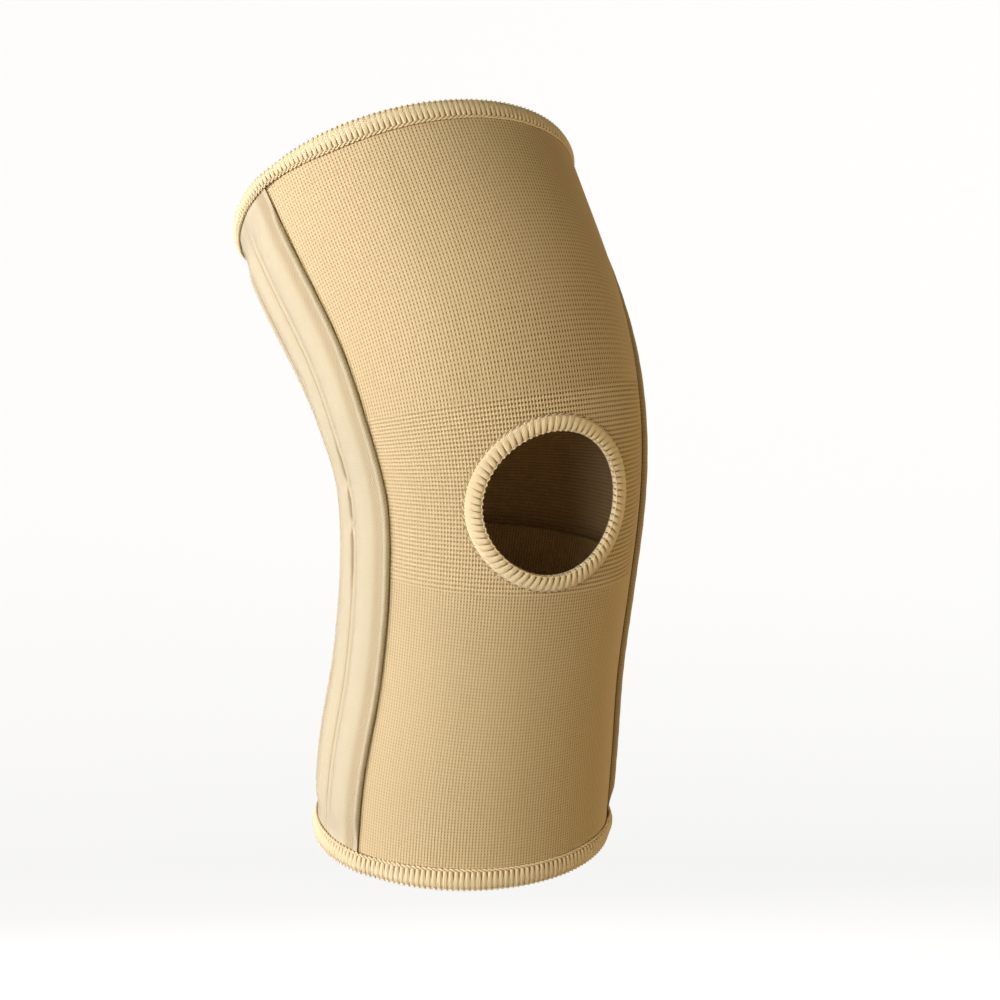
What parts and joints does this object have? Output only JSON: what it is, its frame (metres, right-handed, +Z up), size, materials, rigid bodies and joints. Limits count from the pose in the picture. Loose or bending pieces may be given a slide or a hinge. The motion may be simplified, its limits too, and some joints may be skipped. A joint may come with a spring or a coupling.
{
  "type": "knee brace",
  "caption": "Beige elastic knitted knee brace in its worn, slightly bent form, with a kneecap hole and stay channels down both sides.",
  "frame": {"origin": "centre of the knee, on the sleeve's middle line at the height of the kneecap hole", "axes": "+Z up the leg, -Y to the front where the kneecap hole is, -X to the outer side of a right knee"},
  "size_m": [0.1487, 0.1522, 0.2926],
  "materials": {
    "knit": "matte",
    "band": "matte",
    "thread": "matte"
  },
  "bodies": {
    "root": {"knit_sleeve": "knit", "patella_rim": "thread", "top_hem": "thread", "bottom_hem": "thread", "lateral_band": "band", "medial_band": "band"}
  },
  "joints": []
}
